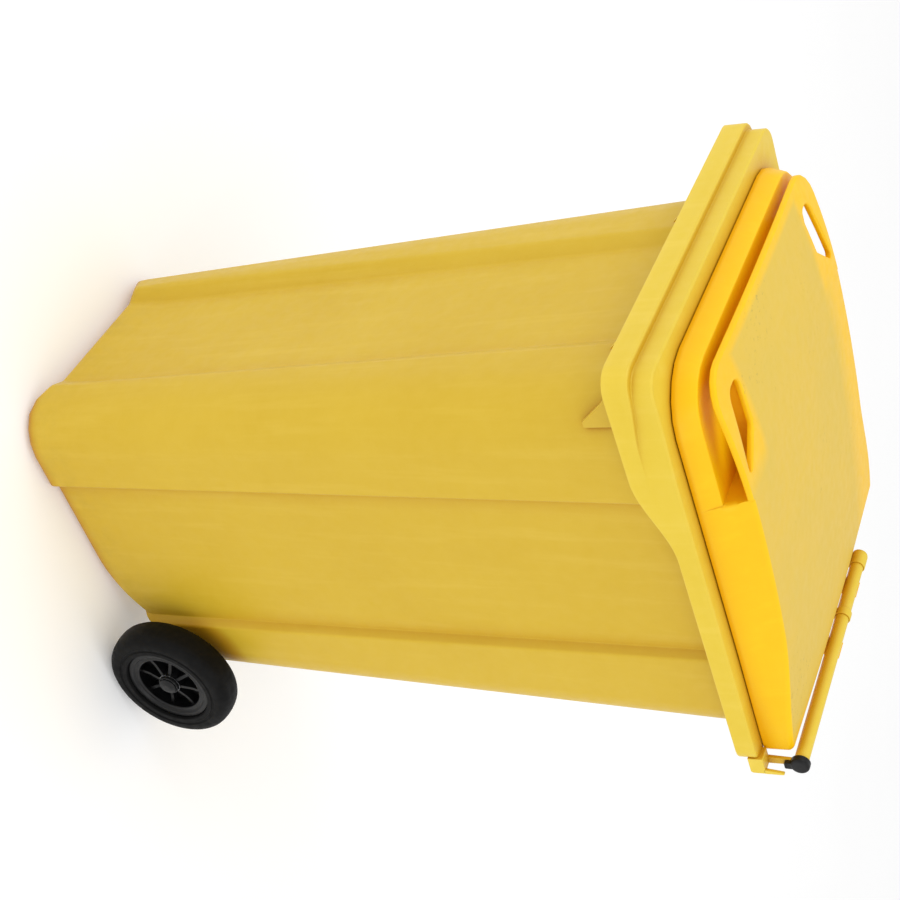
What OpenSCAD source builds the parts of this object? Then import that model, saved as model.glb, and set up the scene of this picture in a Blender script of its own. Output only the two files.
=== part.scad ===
// Two-wheeled mobile waste container, 240 litre class, with a hinged lid.
// Frame: +Z up, -Y is the front, X runs along the wheel axle. The origin is
// on the ground, under the middle of the overall box. Sizes are millimetres.

/* [Overall] */
// Width across the collar
collar_w = 580; // [570:1:590]
// Depth from the front of the collar to the back of the wheels
overall_d = 663; // [655:1:670]
// Height of the collar's top face, where the lid sits
collar_z = 1017; // [1010:1:1030]
// Height of the lid's crown
crown_z = 1085; // [1080:1:1090]

/* [Tub] */
// Half width of the tub at its foot
foot_half = 202; // [196:1:206]
// Half width of the tub under the collar
brow_half = 252; // [248:1:254]
// Front face of the tub at its foot, behind the overall front
foot_setback = 102; // [98:1:112]
// Front face of the tub under the collar, behind the overall front
brow_setback = 63; // [60:1:68]
// Wall thickness of the tub
wall_t = 5; // [4:0.5:6]
// Depth of the pressed-in front and side panels
panel_d = 12; // [8:1:13]
// Depth of the front panel at the foot
foot_panel_d = 18; // [12:1:20]
// Radius of the tub's front corners
tub_front_r = 75; // [60:1:80]
// Radius of the tub's rear corners
tub_rear_r = 50; // [40:1:54]

/* [Collar] */
// Depth of the collar from front to rear
collar_d = 614; // [608:1:618]
// Height of the collar's skirt at the front
skirt_front_h = 57; // [54:1:62]
// Height of the collar's skirt at the rear
skirt_rear_h = 26; // [20:1:30]
// Height of the front's lower, prouder band
band_h = 32; // [26:1:36]
// How far the lower band stands proud of the upper one
band_step = 8; // [4:1:9]
// Wall thickness of the collar
collar_t = 4.5; // [3:0.5:5]

/* [Lid] */
// Half width of the lid's skirt
lid_half = 261.5; // [258:0.5:262]
// Gap behind the collar's front where the lid's skirt starts
lid_setback = 34; // [30:1:36]
// Half width of the raised lid top
top_half = 241; // [236:1:244]
// Wall thickness of the lid
lid_t = 4; // [3:0.5:5]
// Width of each hand slot at its front end
slot_front_w = 40; // [34:1:42]
// Width of each hand slot at its rear end
slot_rear_w = 26; // [20:1:28]
// Height of the ledge that the hand recess stands on
ledge_z = 1047; // [1044:1:1050]

/* [Hinge] */
// Outer diameter of the hinge bar
bar_d = 19; // [17:0.5:20]
// Inner diameter of the hinge bar
bar_bore_d = 13; // [11:0.5:14]
// Height of the hinge bar's axis
bar_z = 1065; // [1063:1:1068]
// Distance of the bar's axis behind the collar
bar_behind = 13; // [12:0.5:14]
// Left end of the bar, measured from the middle
bar_left = 134; // [130:1:140]
// Distance of each lid knuckle from the middle
knuckle_x = 60; // [50:1:66]
// Radial clearance of the lid's knuckles on the bar
knuckle_gap = 0.08; // [0.05:0.01:0.1]

/* [Wheels] */
// Wheel diameter
wheel_d = 204; // [196:1:206]
// Tyre width
tyre_w = 50; // [44:1:52]
// Distance between the outer faces of the tyres
track_w = 558; // [554:1:562]
// Axle diameter
axle_d = 20; // [18:1:22]
// Number of spokes in each wheel
spokes = 8; // [5:1:10]
// Radial clearance of the wheel on its axle
wheel_gap = 0.06; // [0.05:0.01:0.1]

/* [Hidden] */

body_yellow = [0.87, 0.74, 0.27];
lid_yellow = [0.98, 0.79, 0.16];
black_plastic = [0.06, 0.06, 0.07];
tyre_black = [0.12, 0.12, 0.12];
zinc_grey = [0.72, 0.73, 0.75];
nylon_white = [0.86, 0.86, 0.83];

eps = 0.01;
front_y = -overall_d / 2;
rear_y = overall_d / 2;
collar_half = collar_w / 2;
collar_rear_y = front_y + collar_d;

// Tub: every height in it is linear between the foot and the brow
brow_z = 960;
foot_front_y = front_y + foot_setback;
brow_front_y = front_y + brow_setback;
foot_rear_y = collar_rear_y - 20;
brow_rear_y = collar_rear_y - 10;
floor_z = 9;
foot_edge_z = 18;
foot_edge_in = 12;
rest_pad_h = 3;

// Underside: a wheel arch rises from the foot towards the axle
axle_y = rear_y - wheel_d / 2;
axle_z = wheel_d / 2;
arch_start_y = 48;
arch_r = 175;
arch_top_z = 66;
tunnel_front_y = 165;
tunnel_top_z = 145;
cheek_half = 192;
boss_half = 209;
boss_r = 22;
bearer_x = 65;
bearer_t = 8;
bearer_r = 24;

// Collar
skirt_front_z = collar_z - skirt_front_h;
skirt_rear_z = collar_z - skirt_rear_h;
flange_t = 6;
collar_front_r = 28;
collar_rear_r = 22;
skirt_rise_front_y = front_y + 147;
skirt_rise_rear_y = front_y + 267;
bevel = 2.5;

// Chip nest under the front of the collar
nest_y = front_y + 34;
nest_r = 19.5;
nest_bore_r = 17;
nest_low_z = collar_z - 35;

// Hinge
bar_y = collar_rear_y + bar_behind;
bar_right = collar_half - 18;
lug_x = 264;
lug_t = 7;
ring_r = 13;
centre_ring_w = 13;
left_ring_w = 38;
knuckle_w = 30;
knuckle_r = 12.5;
cap_head_t = 9;
cap_r = 11.5;
plug_l = 14;
block_low_z = collar_z - 14;
block_top_z = collar_z + 6;
block_rear_y = rear_y - 10;

// Lid
lid_gap = 3;
lid_low_z = collar_z + lid_gap;
lid_front_y = front_y + lid_setback;
lid_rear_y = collar_rear_y - 9;
lid_band_z = collar_z + 7;
top_front_y = lid_front_y + 14.5;
top_rear_y = lid_rear_y - 1;
dome_mid_y = front_y + 241;
dome_front = 19;
dome_rear = 21;
dome_side = 3;
lip_t = 6;
groove_front_y = top_front_y + 23;
groove_half = 166;
groove_rear_y = front_y + 214;
lip_z = ledge_z + 16;
slot_front = [groove_half + 5 + slot_front_w / 2, front_y + 110];
slot_rear = [top_half - 17 - slot_rear_w / 2, front_y + 178];

// Wheels, measured outwards from the middle plane of a tyre
wheel_x = track_w / 2 - tyre_w / 2;
tyre_in_r = 67;
rim_band_r = 60;
hub_r = 20;
sleeve_r = 13;
hub_in_x = 213;
hub_out_x = 268;
axle_half = 272;
cap_seat_x = 276;

arc_n = 7;

function lerp(a, b, t) = a + (b - a) * t;

function clamp01(t) = max(0, min(1, t));

function smooth(t) = let (c = clamp01(t)) c * c * (3 - 2 * c);

function arc(cx, cy, r, a0, a1, n) = [
    for (i = [0:n])
        let (a = lerp(a0, a1, i / n))
        [cx + r * cos(a), cy + r * sin(a)]
];

// Points strictly between a and b
function between(a, b, n) = [for (i = [1:n - 1]) lerp(a, b, i / n)];

// Rounded rectangle, counter-clockwise from the right front corner
function pad(half, yf, yr, rf, rr) = concat(
    arc(half - rf, yf + rf, rf, -90, 0, arc_n),
    arc(half - rr, yr - rr, rr, 0, 90, arc_n),
    arc(-half + rr, yr - rr, rr, 90, 180, arc_n),
    arc(-half + rf, yf + rf, rf, 180, 270, arc_n)
);

// The same outline with its straight sides cut into short steps
function fine_pad(half, yf, yr, rf, rr) = let (p = pad(half, yf, yr, rf, rr), k = arc_n + 1) [
    for (c = [0:3])
        each concat(
            [for (i = [0:arc_n]) p[c * k + i]],
            between(p[c * k + arc_n], p[((c + 1) * k) % (4 * k)], 8)
        )
];

function level(outline, z) = [for (p = outline) [p[0], p[1], z]];

function mean(points) = [for (k = [0:2]) [for (p = points) p[k]] * [for (p = points) 1] / len(points)];

// Solid through a list of closed rings that all have the same number of points.
// Each end is closed by a fan about the middle of its ring.
module loft(rings) {
    n = len(rings[0]);
    m = len(rings);
    low = n * m;
    high = low + 1;
    polyhedron(
        points = concat([for (ring = rings) each ring], [mean(rings[0]), mean(rings[m - 1])]),
        faces = [
            for (i = [0:n - 1])
                let (j = (i + 1) % n)
                each concat(
                    [[low, i, j], [high, (m - 1) * n + j, (m - 1) * n + i]],
                    [for (k = [0:n:(m - 2) * n]) each [
                        [k + i, k + n + i, k + n + j],
                        [k + i, k + n + j, k + j]
                    ]]
                )
        ]
    );
}

// Plate across X from a side profile given as [y, z] points
module across(points, x0, x1) {
    translate([x0, 0, 0])
        rotate([90, 0, 90])
            linear_extrude(height = x1 - x0)
                polygon(points);
}

// Cylinder along X
module rod(x0, x1, y, z, r) {
    translate([x0, y, z])
        rotate([0, 90, 0])
            cylinder(r = r, h = x1 - x0, $fn = 64);
}

module both_sides() {
    children();
    mirror([1, 0, 0]) children();
}

// ---- Tub -------------------------------------------------------------

// Horizontal section of the tub at height z, moved inwards by e
function tub_section(z, e) =
    let (
        t = z / brow_z,
        half = lerp(foot_half, brow_half, t) - e,
        yf = lerp(foot_front_y, brow_front_y, t) + e,
        yr = lerp(foot_rear_y, brow_rear_y, t) - e,
        rf = tub_front_r - e,
        rr = tub_rear_r - e,
        front_in = lerp(100, 104, t) - e / 2,
        front_out = front_in + 24,
        front_d = lerp(foot_panel_d, panel_d, t),
        side_a = lerp(-104, -120, t) + e / 2,
        side_b = lerp(170, 138, t) - e / 2,
        side_in = half - panel_d
    )
    level(concat(
        [[-front_out, yf], [-front_in, yf + front_d], [front_in, yf + front_d], [front_out, yf]],
        arc(half - rf, yf + rf, rf, -90, 0, arc_n),
        [[half, side_a], [side_in, side_a + 8], [side_in, side_b - 18], [half, side_b]],
        arc(half - rr, yr - rr, rr, 0, 90, arc_n),
        arc(-half + rr, yr - rr, rr, 90, 180, arc_n),
        [[-half, side_b], [-side_in, side_b - 18], [-side_in, side_a + 8], [-half, side_a]],
        arc(-half + rf, yf + rf, rf, 180, 270, arc_n)
    ), z);

module tub_outside() {
    loft([
        [for (p = tub_section(0, foot_edge_in)) [p[0], p[1], rest_pad_h - 1]],
        tub_section(foot_edge_z, 0),
        tub_section(brow_z, 0),
        tub_section(collar_z - 1, 0)
    ]);
}

// Flat pad that the foot stands on
module rest_pad() {
    linear_extrude(height = rest_pad_h)
        polygon(pad(foot_half - 22, foot_front_y + 30, arch_start_y - 6, 34, 12));
}

// Side profile of the wheel arch, as wide as the underside is high at r
function arch_profile(r, top_z) =
    let (swing = acos((arch_r - top_z) / arch_r))
    concat(
        arc(arch_start_y, arch_r, r, -90, -90 + swing, 8),
        [[rear_y + 20, top_z], [rear_y + 20, -20], [arch_start_y, -20]]
    );

module wheel_arch() {
    across(arch_profile(arch_r, arch_top_z), -collar_half, collar_half);
}

// Open space around the axle, between the two cheeks
module axle_tunnel() {
    across([
        [tunnel_front_y, 20], [tunnel_front_y, tunnel_top_z - 20],
        [tunnel_front_y + 20, tunnel_top_z],
        [rear_y, tunnel_top_z], [rear_y, 20]
    ], -cheek_half, cheek_half);
}

// Inside of the tub: its floor steps up over the axle tunnel
module tub_inside() {
    difference() {
        loft([
            tub_section(floor_z, wall_t + foot_edge_in),
            tub_section(floor_z + foot_edge_z, wall_t),
            tub_section(brow_z, wall_t),
            tub_section(collar_z + 5, wall_t)
        ]);
        across(arch_profile(arch_r - wall_t, arch_top_z), -collar_half, collar_half);
        across([
            [tunnel_front_y - wall_t, -20], [tunnel_front_y - wall_t, tunnel_top_z - 18],
            [tunnel_front_y + 18, tunnel_top_z + wall_t],
            [rear_y, tunnel_top_z + wall_t], [rear_y, -20]
        ], -collar_half, collar_half);
    }
}

// Plates that carry the axle: two ribs in the tunnel and a boss on each cheek
module axle_bearers() {
    both_sides() {
        rod(bearer_x - bearer_t / 2, bearer_x + bearer_t / 2, axle_y, axle_z, bearer_r);
        translate([bearer_x - bearer_t / 2, axle_y - bearer_r, axle_z])
            cube([bearer_t, 2 * bearer_r, tunnel_top_z - axle_z + 2]);
        rod(cheek_half - 4, boss_half, axle_y, axle_z, boss_r);
    }
}

// ---- Collar ----------------------------------------------------------

function collar_outline(front_in, e) =
    pad(collar_half - e, front_y + front_in + e, collar_rear_y - e,
        collar_front_r - e, collar_rear_r - e);

module slab(outline, z0, z1) {
    translate([0, 0, z0])
        linear_extrude(height = z1 - z0)
            polygon(outline);
}

// Height of the side skirt's lower edge: deep at the front, shallow behind
function skirt_edge(y) =
    lerp(skirt_front_z, skirt_rear_z,
        smooth((y - skirt_rise_front_y) / (skirt_rise_rear_y - skirt_rise_front_y)));

module skirt_trim() {
    steps = 12;
    both_sides()
        across(concat(
            [for (i = [0:steps])
                let (y = lerp(skirt_rise_front_y, skirt_rise_rear_y, i / steps))
                [y, skirt_edge(y)]],
            [[rear_y, skirt_rear_z], [rear_y, skirt_front_z - 20],
                [skirt_rise_front_y, skirt_front_z - 20]]
        ), brow_half + 5, collar_half + 10);
    translate([-collar_half, brow_rear_y + 2.5, skirt_front_z - 20])
        cube([collar_w, 60, skirt_rear_z - skirt_front_z + 20]);
}

module collar() {
    band_top_z = skirt_front_z + band_h;
    difference() {
        union() {
            slab(collar_outline(0, 0), skirt_front_z, band_top_z);
            slab(collar_outline(band_step, 0), band_top_z - eps, collar_z - bevel);
            slab(collar_outline(band_step, bevel), collar_z - bevel - eps, collar_z);
        }
        slab(collar_outline(0, collar_t), skirt_front_z - 1, band_top_z - collar_t);
        slab(collar_outline(band_step, collar_t), band_top_z - collar_t - 1, collar_z - flange_t);
        skirt_trim();
    }
}

// Upright webs between the tub and the collar's skirt
module collar_webs() {
    both_sides() {
        front_web(205, skirt_front_z + 8);
        front_web(140, skirt_front_z - 46);
        corner_web(front_y + 100, skirt_front_z - 50);
        corner_web(front_y + 190, skirt_front_z + 16);
        corner_web(front_y + 330, skirt_rear_z + 4);
        corner_web(front_y + 470, skirt_rear_z + 4);
    }
}

// One web in front of the tub, its foot sloping forward to the skirt
module front_web(x, low_z) {
    web_t = 4;
    web_front_y = front_y + band_step + 2;
    across([
        [web_front_y, skirt_front_z + 8], [brow_front_y + 6, low_z],
        [brow_front_y + 12, low_z], [brow_front_y + 12, collar_z - 3],
        [web_front_y, collar_z - 3]
    ], x - web_t / 2, x + web_t / 2);
}

// One web beside the tub, its foot sloping out to the skirt
module corner_web(y, low_z) {
    web_t = 5;
    translate([0, y + web_t / 2, 0])
        rotate([90, 0, 0])
            linear_extrude(height = web_t)
                polygon([
                    [brow_half - 16, low_z], [brow_half - 12, low_z],
                    [collar_half - 2, max(low_z, skirt_front_z) + 4],
                    [collar_half - 2, collar_z - 4], [brow_half - 16, collar_z - 4]
                ]);
}

module chip_nest() {
    translate([0, nest_y, nest_low_z])
        cylinder(r = nest_r, h = collar_z - nest_low_z - 2, $fn = 64);
}

// ---- Hinge supports on the body --------------------------------------

// Block behind each rear corner of the collar
module corner_block() {
    block_x = lug_x - 0.5;
    translate([block_x, collar_rear_y - 8, block_low_z])
        cube([collar_half - 2 - block_x, block_rear_y - collar_rear_y + 8, block_top_z - block_low_z]);
}

// Upright that carries the right end of the bar, and the fin behind it
module end_lug() {
    fin_t = 4;
    translate([collar_half - 17, block_rear_y - fin_t, block_top_z - eps])
        cube([15, fin_t, 24]);
    translate([lug_x, bar_y - 5, block_top_z - eps])
        cube([lug_t, 10, bar_z - block_top_z]);
    rod(lug_x, lug_x + lug_t, bar_y, bar_z, ring_r);
}

// Ring round the bar, on a web behind the collar
module bar_ring(x0, w) {
    web_d = 12;
    web_low_z = skirt_rear_z + 4;
    rod(x0, x0 + w, bar_y, bar_z, ring_r);
    translate([x0, collar_rear_y - 6, web_low_z])
        cube([w, web_d, bar_z - web_low_z]);
}

module bin_body() {
    color(body_yellow)
        difference() {
            union() {
                difference() {
                    union() {
                        difference() {
                            tub_outside();
                            wheel_arch();
                        }
                        collar();
                        collar_webs();
                        chip_nest();
                    }
                    tub_inside();
                    axle_tunnel();
                }
                rest_pad();
                axle_bearers();
                both_sides() corner_block();
                end_lug();
                bar_ring(-centre_ring_w / 2, centre_ring_w);
                bar_ring(-bar_left, left_ring_w);
            }
            rod(-boss_half - 5, boss_half + 5, axle_y, axle_z, axle_d / 2 + 0.05);
            rod(-bar_left - 1, bar_right, bar_y, bar_z, bar_d / 2 + 0.05);
            translate([0, nest_y, nest_low_z - 1])
                cylinder(r = nest_bore_r, h = 29, $fn = 64);
        }
}

// ---- Lid -------------------------------------------------------------

// Height of the lid's domed top
function dome(x, y) =
    let (
        s = y - dome_mid_y,
        run = s < 0 ? dome_mid_y - top_front_y : top_rear_y - dome_mid_y,
        fall = s < 0 ? dome_front : dome_rear
    )
    crown_z - fall * pow(s / run, 2) - dome_side * pow(x / top_half, 2);

function lid_skirt(e) = fine_pad(lid_half - e, lid_front_y + e, lid_rear_y - e, 74 - e, 26 - e);

function lid_top(e) = fine_pad(top_half - e, top_front_y + e, top_rear_y - e, 46 - e, 22 - e);

function on_dome(outline, drop) = [for (p = outline) [p[0], p[1], dome(p[0], p[1]) - drop]];

// An outline shrunk to k times its size, towards the point (0, y)
function shrunk(outline, k, y) = [for (p = outline) [p[0] * k, y + (p[1] - y) * k]];

// Rings of the domed top, from its rim e inside the top's edge to its middle
function dome_rings(e, drop) = [
    for (k = [1, 0.66, 0.33, 0.1])
        on_dome(shrunk(lid_top(e), k, dome_mid_y), drop)
];

module lid_outside() {
    loft([
        level(lid_skirt(0), lid_low_z),
        level(lid_skirt(0), lid_band_z),
        on_dome(lid_top(0), 5),
        on_dome(lid_top(3), 1),
        each dome_rings(9, 0)
    ]);
}

module lid_inside() {
    loft([
        level(lid_skirt(lid_t), lid_low_z - 5),
        level(lid_skirt(lid_t), lid_band_z),
        on_dome(lid_top(lid_t + 3), lid_t + 5),
        each dome_rings(lid_t + 8, lid_t)
    ]);
}

// An outline lifted to the underside of the lip, which stays level under the hand slots
function under_lip(outline, g) = [
    for (p = outline) [p[0], p[1], min(dome(p[0], p[1]) - lip_t, lip_z) + g]
];

// Recess that runs round the front from hand hold to hand hold, grown by g
module hand_recess(g) {
    outer = fine_pad(lid_half + 20, lid_front_y - 20, groove_rear_y + g, 30, 12 + g);
    mid_y = (lid_front_y + groove_rear_y) / 2;
    inner = pad(groove_half - g, groove_front_y + g, groove_rear_y + 60, 40, 10);
    difference() {
        loft([
            level(outer, ledge_z - g),
            for (k = [1, 0.8, 0.6, 0.3]) under_lip(shrunk(outer, k, mid_y), g)
        ]);
        slab(inner, ledge_z - g - 1, crown_z);
    }
}

// Slot that flares outwards from front to rear
module hand_slot() {
    translate([0, 0, ledge_z + 5])
        hull() {
            translate(slot_front)
                cylinder(r = slot_front_w / 2, h = 60, $fn = 32);
            translate(slot_rear)
                cylinder(r = slot_rear_w / 2, h = 60, $fn = 32);
        }
}

// Feet that the lid rests on, under its skirt
module rest_foot(x, y) {
    translate([x - 8, y, collar_z + 0.1])
        cube([16, lid_t, lid_gap + 2]);
}

// Arm and ring that wrap the bar
module knuckle() {
    x0 = knuckle_x - knuckle_w / 2;
    rod(x0, x0 + knuckle_w, bar_y, bar_z, knuckle_r);
    translate([x0, lid_rear_y - 6, bar_z - 12])
        cube([knuckle_w, bar_y - lid_rear_y + 6, 12]);
}

module lid() {
    color(lid_yellow)
        difference() {
            union() {
                difference() {
                    lid_outside();
                    difference() {
                        lid_inside();
                        hand_recess(lid_t);
                    }
                    hand_recess(0);
                    both_sides() hand_slot();
                }
                both_sides() {
                    knuckle();
                    rest_foot(110, lid_front_y);
                    rest_foot(150, lid_rear_y - lid_t);
                }
            }
            rod(-bar_left, bar_right, bar_y, bar_z, bar_d / 2 + knuckle_gap);
        }
}

// ---- Hinge bar and its caps ------------------------------------------

module hinge_bar() {
    color(body_yellow)
        difference() {
            rod(-bar_left, bar_right, bar_y, bar_z, bar_d / 2);
            rod(-bar_left - 1, bar_right + 1, bar_y, bar_z, bar_bore_d / 2);
        }
}

// Plug for the right end of the bar, with a tongue that hangs down
module bar_cap() {
    head_x = bar_right + cap_head_t;
    color(black_plastic) {
        rod(bar_right, head_x - 2, bar_y, bar_z, cap_r);
        rod(head_x - 2 - eps, head_x, bar_y, bar_z, cap_r - 2);
        rod(bar_right - plug_l, bar_right + eps, bar_y, bar_z, bar_bore_d / 2 - 0.05);
        translate([bar_right, bar_y - 4, bar_z - 17])
            cube([6, 8, 17]);
    }
}

// Plug that closes the left end of the bar
module bar_plug() {
    color(body_yellow) {
        rod(-bar_left - 3, -bar_left, bar_y, bar_z, ring_r - 1);
        rod(-bar_left - eps, plug_l - bar_left, bar_y, bar_z, bar_bore_d / 2 - 0.05);
    }
}

// ---- Wheels, all drawn for the right side ----------------------------

// Turns a profile of [radius, distance outwards] points about the wheel's axis
module turned(points) {
    translate([0, axle_y, axle_z])
        rotate([0, 90, 0])
            rotate_extrude($fn = 96)
                polygon(points);
}

module axle() {
    chamfer = 1.5;
    r = axle_d / 2;
    color(zinc_grey)
        turned([
            [0, -axle_half], [r - chamfer, -axle_half], [r, chamfer - axle_half],
            [r, axle_half - chamfer], [r - chamfer, axle_half], [0, axle_half]
        ]);
}

module tyre() {
    shoulder = 20;
    bead = 5;
    hw = tyre_w / 2;
    r = wheel_d / 2;
    section = concat(
        arc(r - shoulder, -hw + shoulder, shoulder, -90, 0, arc_n),
        arc(r - shoulder, hw - shoulder, shoulder, 0, 90, arc_n),
        arc(tyre_in_r + bead, hw - bead, bead, 90, 180, 3),
        arc(tyre_in_r + bead, -hw + bead, bead, 180, 270, 3)
    );
    color(tyre_black)
        turned([for (p = section) [p[0], wheel_x + p[1]]]);
}

module wheel_rim() {
    band_half = tyre_w / 2 - 6;
    web_x = wheel_x - 8;
    spoke_t = 5;
    color(black_plastic)
        difference() {
            union() {
                turned([
                    [rim_band_r, wheel_x - band_half], [tyre_in_r, wheel_x - band_half],
                    [tyre_in_r, wheel_x + band_half], [rim_band_r, wheel_x + band_half]
                ]);
                turned([
                    [sleeve_r, hub_in_x], [hub_r, hub_in_x], [hub_r, web_x],
                    [rim_band_r + 1, web_x], [rim_band_r + 1, web_x + 5], [hub_r + 4, web_x + 5],
                    [hub_r + 4, cap_seat_x], [hub_r - 1, cap_seat_x], [hub_r - 1, hub_out_x],
                    [sleeve_r, hub_out_x]
                ]);
                for (i = [0:spokes - 1])
                    translate([0, axle_y, axle_z])
                        rotate([i * 360 / spokes, 0, 0])
                            translate([wheel_x - 16, -spoke_t / 2, hub_r + 2])
                                cube([28, spoke_t, rim_band_r - hub_r - 1]);
            }
            rod(hub_in_x - 1, hub_out_x + 1, axle_y, axle_z, sleeve_r + 0.02);
        }
}

module hub_sleeve() {
    bore_r = axle_d / 2 + wheel_gap;
    flange_r = sleeve_r + 4;
    color(nylon_white)
        turned([
            [bore_r, hub_in_x - 1.5], [flange_r, hub_in_x - 1.5], [flange_r, hub_in_x],
            [sleeve_r, hub_in_x], [sleeve_r, hub_out_x], [bore_r, hub_out_x]
        ]);
}

module spacer_washer() {
    bore_r = axle_d / 2 + 0.1;
    color(zinc_grey)
        turned([
            [bore_r, boss_half], [18, boss_half],
            [18, boss_half + 2.4], [bore_r, boss_half + 2.4]
        ]);
}

// Push-on ring with a dished rim that keeps the wheel on the axle
module axle_clip() {
    bore_r = axle_d / 2 + 0.02;
    low_x = hub_out_x + 0.4;
    color(zinc_grey)
        turned([
            [bore_r, low_x], [17, low_x], [17, low_x + 1],
            [12, low_x + 2.2], [bore_r, low_x + 2.2]
        ]);
}

module hub_cap() {
    plug_r = hub_r - 1.1;
    head_r = hub_r + 4;
    color(black_plastic)
        turned([
            [0, cap_seat_x], [plug_r - 2, cap_seat_x], [plug_r - 2, cap_seat_x - 4.5],
            [plug_r, cap_seat_x - 4.5], [plug_r, cap_seat_x], [head_r, cap_seat_x],
            [head_r, cap_seat_x + 1], [head_r - 4, cap_seat_x + 3], [0, cap_seat_x + 3.5]
        ]);
}

module tyre_right() tyre();

module tyre_left() mirror([1, 0, 0]) tyre();

module wheel_rim_right() wheel_rim();

module wheel_rim_left() mirror([1, 0, 0]) wheel_rim();

module hub_sleeve_right() hub_sleeve();

module hub_sleeve_left() mirror([1, 0, 0]) hub_sleeve();

module spacer_washer_right() spacer_washer();

module spacer_washer_left() mirror([1, 0, 0]) spacer_washer();

module axle_clip_right() axle_clip();

module axle_clip_left() mirror([1, 0, 0]) axle_clip();

module hub_cap_right() hub_cap();

module hub_cap_left() mirror([1, 0, 0]) hub_cap();

// ---- Chip nest contents ----------------------------------------------

module transponder() {
    color(black_plastic)
        translate([0, nest_y, nest_low_z + 12])
            cylinder(r = 15, h = 15, $fn = 64);
}

module chip_nest_plug() {
    color(body_yellow)
        translate([0, nest_y, nest_low_z]) {
            cylinder(r = nest_bore_r - 0.1, h = 11, $fn = 64);
            translate([0, 0, -2])
                cylinder(r = nest_r, h = 2, $fn = 64);
        }
}

bin_body();
lid();
hinge_bar();
bar_cap();
bar_plug();
axle();
tyre_left();
tyre_right();
wheel_rim_left();
wheel_rim_right();
hub_sleeve_left();
hub_sleeve_right();
spacer_washer_left();
spacer_washer_right();
axle_clip_left();
axle_clip_right();
hub_cap_left();
hub_cap_right();
transponder();
chip_nest_plug();
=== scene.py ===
"""Two-wheeled waste container with a hinged lid, in metres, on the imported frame.

+Z is up, -Y is the front and X runs along the wheel axle.
"""
import math

import bmesh
import bpy
from mathutils import Matrix, Vector


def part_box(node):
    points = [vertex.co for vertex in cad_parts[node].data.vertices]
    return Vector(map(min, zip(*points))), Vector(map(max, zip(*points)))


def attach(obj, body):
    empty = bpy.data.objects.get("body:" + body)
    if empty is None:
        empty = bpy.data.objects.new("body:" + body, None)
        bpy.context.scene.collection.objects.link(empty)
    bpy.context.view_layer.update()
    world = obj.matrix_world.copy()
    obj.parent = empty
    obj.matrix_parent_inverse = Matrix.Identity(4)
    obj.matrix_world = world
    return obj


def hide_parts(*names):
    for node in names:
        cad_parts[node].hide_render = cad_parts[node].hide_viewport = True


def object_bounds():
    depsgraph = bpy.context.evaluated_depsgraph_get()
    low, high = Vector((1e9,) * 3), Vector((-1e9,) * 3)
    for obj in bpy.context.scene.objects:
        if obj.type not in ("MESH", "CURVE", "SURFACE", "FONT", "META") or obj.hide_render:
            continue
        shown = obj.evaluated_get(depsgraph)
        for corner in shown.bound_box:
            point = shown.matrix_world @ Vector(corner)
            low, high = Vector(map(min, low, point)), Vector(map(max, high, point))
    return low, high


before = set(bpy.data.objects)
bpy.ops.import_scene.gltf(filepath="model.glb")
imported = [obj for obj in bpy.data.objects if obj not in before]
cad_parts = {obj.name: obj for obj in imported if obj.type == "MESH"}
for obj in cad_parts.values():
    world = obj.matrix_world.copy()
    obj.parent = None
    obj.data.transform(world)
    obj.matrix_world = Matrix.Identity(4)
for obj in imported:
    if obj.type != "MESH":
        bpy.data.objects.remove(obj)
cad_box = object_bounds()

# ---- Sizes -------------------------------------------------------------

bin_low, bin_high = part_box("bin_body")
lid_low, lid_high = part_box("lid")
bar_low, bar_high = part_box("hinge_bar")
plug_low, plug_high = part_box("bar_plug")
tyre_low, tyre_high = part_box("tyre_right")
hub_low, hub_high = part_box("wheel_rim_right")

ARC_STEPS = 5
TURN_STEPS = 96
SMALL_TURN = 64
SIDES = ((-1, "left"), (1, "right"))
CORE_R = 0.0002  # radius of the pinhole that a turned solid keeps along its axis
SHARP = 34  # angles in degrees above which an edge is sharp
LID_SHARP = 40
ACROSS = 6  # plain points on each half of the lid's front and rear

front_y = bin_low.y
collar_half = bin_high.x
collar_z = lid_low.z

# Hinge bar
bar_y = (bar_low.y + bar_high.y) / 2
bar_z = (bar_low.z + bar_high.z) / 2
bar_r = (bar_high.z - bar_low.z) / 2
bar_bore_r = 0.0065
ring_gap_r = 0.0117
bar_left_x = bar_low.x + 0.012
lug_x = 0.2655
lug_t = 0.0050
collar_rear_y = bar_y - 0.013

# Tub
brow_z = 0.960
foot_half = 0.202
brow_half = 0.252
foot_front_y = front_y + 0.102
brow_front_y = front_y + 0.063
foot_rear_y = collar_rear_y - 0.020
brow_rear_y = collar_rear_y - 0.010
tub_front_r = 0.075
tub_rear_r = 0.050
wall_t = 0.005
panel_d = 0.012
foot_panel_d = 0.018
foot_z = 0.002
foot_r = 0.015
floor_z = 0.009
front_lift = 0.019
mouth_z = collar_z - 0.003

# Wheel arch and the tunnel round the axle
arch_start_y = 0.048
arch_r = 0.175
arch_top_z = 0.066
tunnel_front_y = 0.165
tunnel_top_z = 0.145
cheek_half = 0.192

# Collar
skirt_front_z = collar_z - 0.057
skirt_rear_z = collar_z - 0.026
band_h = 0.032
band_step = 0.008
side_step = 0.0045
collar_t = 0.0045
flange_t = 0.006
skirt_rise_front_y = front_y + 0.147
skirt_rise_rear_y = front_y + 0.267

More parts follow.
